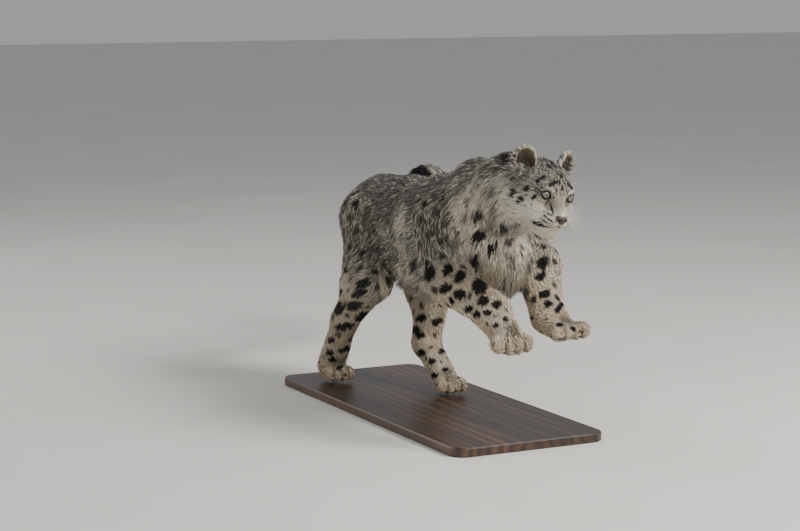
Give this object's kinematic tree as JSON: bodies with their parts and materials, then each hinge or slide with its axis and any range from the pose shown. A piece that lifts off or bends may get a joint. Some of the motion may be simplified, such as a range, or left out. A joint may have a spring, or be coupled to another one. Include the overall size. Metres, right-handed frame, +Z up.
{
  "type": "snow leopard",
  "caption": "Life-size still model of a snow leopard in mid-bound, standing on its hind feet with both forelegs off the ground, on a flat rectangular base.",
  "frame": {"origin": "centre of the underside of the display base", "axes": "+Z up; the animal faces -Y and its left side is +X"},
  "size_m": [0.7836, 1.6896, 0.8022],
  "materials": {
    "coat": "thick grey fur with dark rosettes",
    "pale_coat": "long cream white fur of neck and chest",
    "limb_coat": "short buff fur with bold black spots",
    "nose": "bare dark nose leather",
    "eye": "polished grey green glass eye with a round pupil",
    "stand": "dark stained and waxed wood"
  },
  "bodies": {
    "root": {"torso": "coat", "neck": "pale_coat", "head": "coat", "nose": "nose", "eye_right": "eye", "eye_left": "eye", "ear_right": "coat", "ear_left": "coat", "stand_base": "stand", "fore_right_upper": "coat", "fore_right_forearm": "limb_coat", "fore_right_paw": "limb_coat", "fore_left_upper": "coat", "fore_left_forearm": "limb_coat", "fore_left_paw": "limb_coat", "hind_right_thigh": "coat", "hind_right_shank": "limb_coat", "hind_right_foot": "limb_coat", "hind_left_thigh": "coat", "hind_left_shank": "limb_coat", "hind_left_foot": "limb_coat", "tail_1": "coat", "tail_2": "coat", "tail_3": "coat", "tail_4": "coat"}
  },
  "joints": []
}
